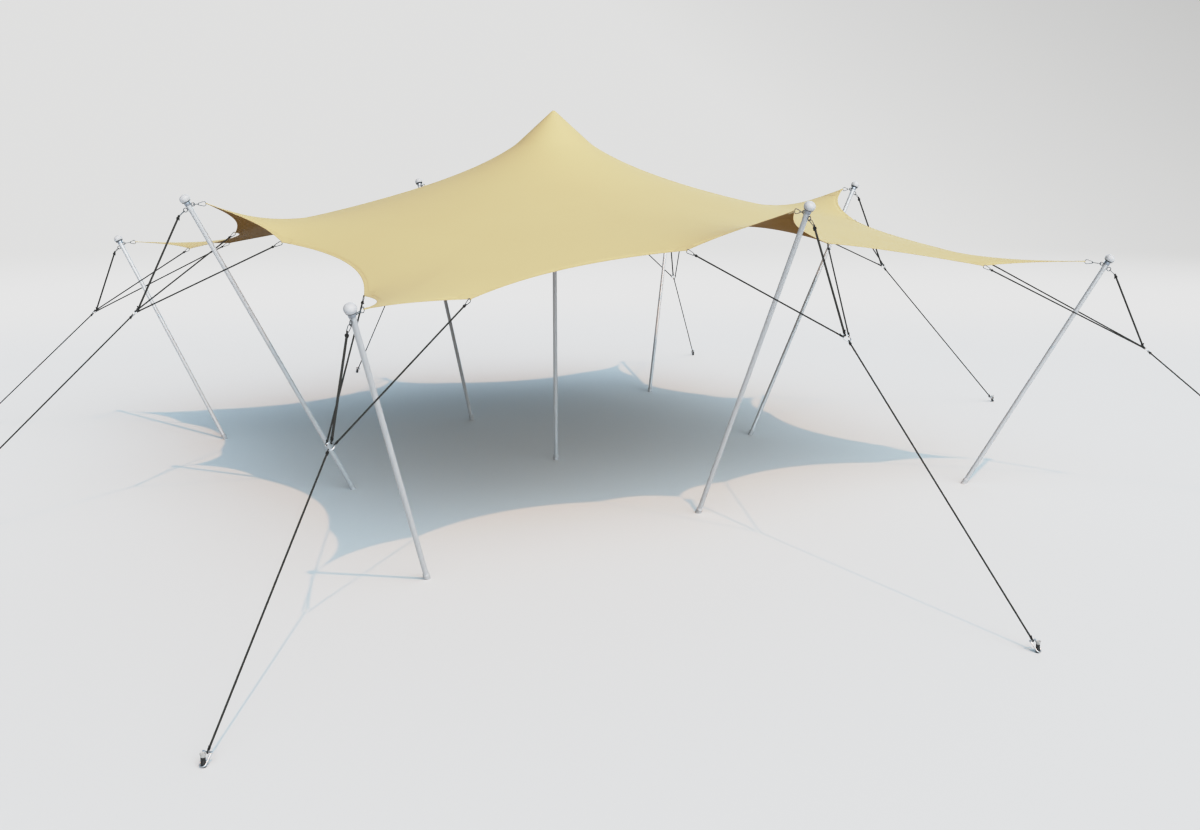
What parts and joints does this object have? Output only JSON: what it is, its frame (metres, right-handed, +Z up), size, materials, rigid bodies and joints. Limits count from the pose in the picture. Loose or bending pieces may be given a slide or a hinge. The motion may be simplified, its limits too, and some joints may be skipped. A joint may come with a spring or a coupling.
{
  "type": "stretch tent",
  "caption": "Square stretch-fabric tent: a peaked canopy pushed up by a centre pole and pulled out by leaning poles, bridles and ground ropes to stakes.",
  "frame": {"origin": "on the ground, at the middle of the eight leaning poles and eight stakes; the centre pole stands 0.19 m from it", "axes": "+Z up; +X to the tent's right and -Y to its front, each through the pole in the middle of a side"},
  "size_m": [17.5294, 17.5294, 5.004],
  "materials": {
    "canopy_fabric": "sand-coloured coated stretch knit, brown on its underside, matt",
    "pole_metal": "light grey anodised tube, satin",
    "white_plastic": "white moulded plastic cap, satin",
    "dark_rope": "charcoal braided polyester rope, matt",
    "stake_steel": "galvanised steel shackle and pin round a dark steel peg"
  },
  "bodies": {
    "root": {"canopy": "canopy_fabric", "centre_pole": "pole_metal", "centre_pole_cap": "white_plastic", "front_pole": "pole_metal", "front_pole_head": "white_plastic", "front_bridle": "dark_rope", "front_ground_rope": "dark_rope", "front_stake": "stake_steel", "front_right_pole": "pole_metal", "front_right_pole_head": "white_plastic", "front_right_bridle": "dark_rope", "front_right_ground_rope": "dark_rope", "front_right_stake": "stake_steel", "right_pole": "pole_metal", "right_pole_head": "white_plastic", "right_bridle": "dark_rope", "right_ground_rope": "dark_rope", "right_stake": "stake_steel", "back_right_pole": "pole_metal", "back_right_pole_head": "white_plastic", "back_right_bridle": "dark_rope", "back_right_ground_rope": "dark_rope", "back_right_stake": "stake_steel", "back_pole": "pole_metal", "back_pole_head": "white_plastic", "back_bridle": "dark_rope", "back_ground_rope": "dark_rope", "back_stake": "stake_steel", "back_left_pole": "pole_metal", "back_left_pole_head": "white_plastic", "back_left_bridle": "dark_rope", "back_left_ground_rope": "dark_rope", "back_left_stake": "stake_steel", "left_pole": "pole_metal", "left_pole_head": "white_plastic", "left_bridle": "dark_rope", "left_ground_rope": "dark_rope", "left_stake": "stake_steel", "front_left_pole": "pole_metal", "front_left_pole_head": "white_plastic", "front_left_bridle": "dark_rope", "front_left_ground_rope": "dark_rope", "front_left_stake": "stake_steel"}
  },
  "joints": []
}
